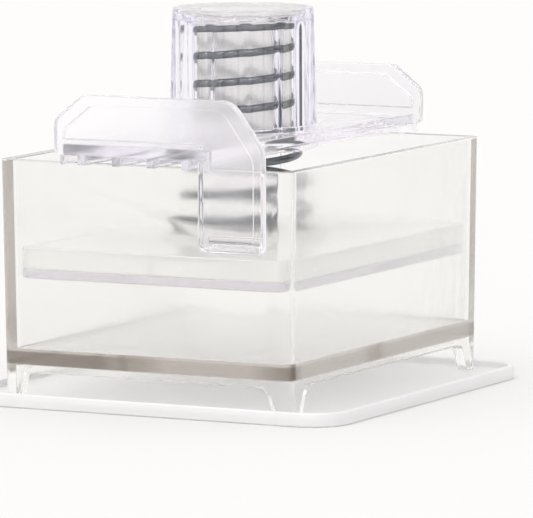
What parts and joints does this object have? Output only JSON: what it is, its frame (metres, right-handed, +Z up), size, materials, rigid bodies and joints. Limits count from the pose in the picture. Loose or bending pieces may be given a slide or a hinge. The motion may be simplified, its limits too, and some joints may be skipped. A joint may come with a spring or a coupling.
{
  "type": "tofu press",
  "caption": "Clear spring tofu press: footed container in a drip tray, press plate on a steel spring, and a twist-lock bridge with a fluted spring cap.",
  "frame": {"origin": "centre of the whole object's footprint, on the underside of the drip tray", "axes": "+Z up along the spring; +X along the bridge and the container's long side"},
  "size_m": [0.1418, 0.129, 0.1186],
  "materials": {
    "frosted_plastic": "frosted translucent white",
    "clear_plastic": "polished clear",
    "tinted_plastic": "clear with a lavender edge tint",
    "misty_plastic": "slightly misted clear",
    "spring_steel": "bright drawn stainless wire",
    "bridge_plastic": "polished clear with misted end plates",
    "cap_plastic": "polished clear",
    "guide_plastic": "smooth off-white"
  },
  "bodies": {
    "tray": {"drip_tray": "frosted_plastic"},
    "container": {"container": "clear_plastic"},
    "bridge": {"bridge": "bridge_plastic", "spring_cap": "cap_plastic", "spring_guide": "guide_plastic"},
    "plate": {"press_board": "tinted_plastic", "press_cover": "misty_plastic", "spring": "spring_steel"}
  },
  "joints": [
    {"name": "container_lift", "type": "slide", "parent": "tray", "child": "container", "axis": [0, 0, 1], "range_m": [0, 0.03]},
    {"name": "bridge_twist", "type": "hinge", "parent": "container", "child": "bridge", "pos_m": [0, 0, 0.0781], "axis": [0, 0, 1], "range_deg": [-25, 0]},
    {"name": "plate_press", "type": "slide", "parent": "container", "child": "plate", "axis": [0, 0, 1], "range_m": [-0.0212, 0.0235], "stiffness_N_per_m": 1000, "springref_m": 0.001, "deforming": ["spring"]}
  ]
}
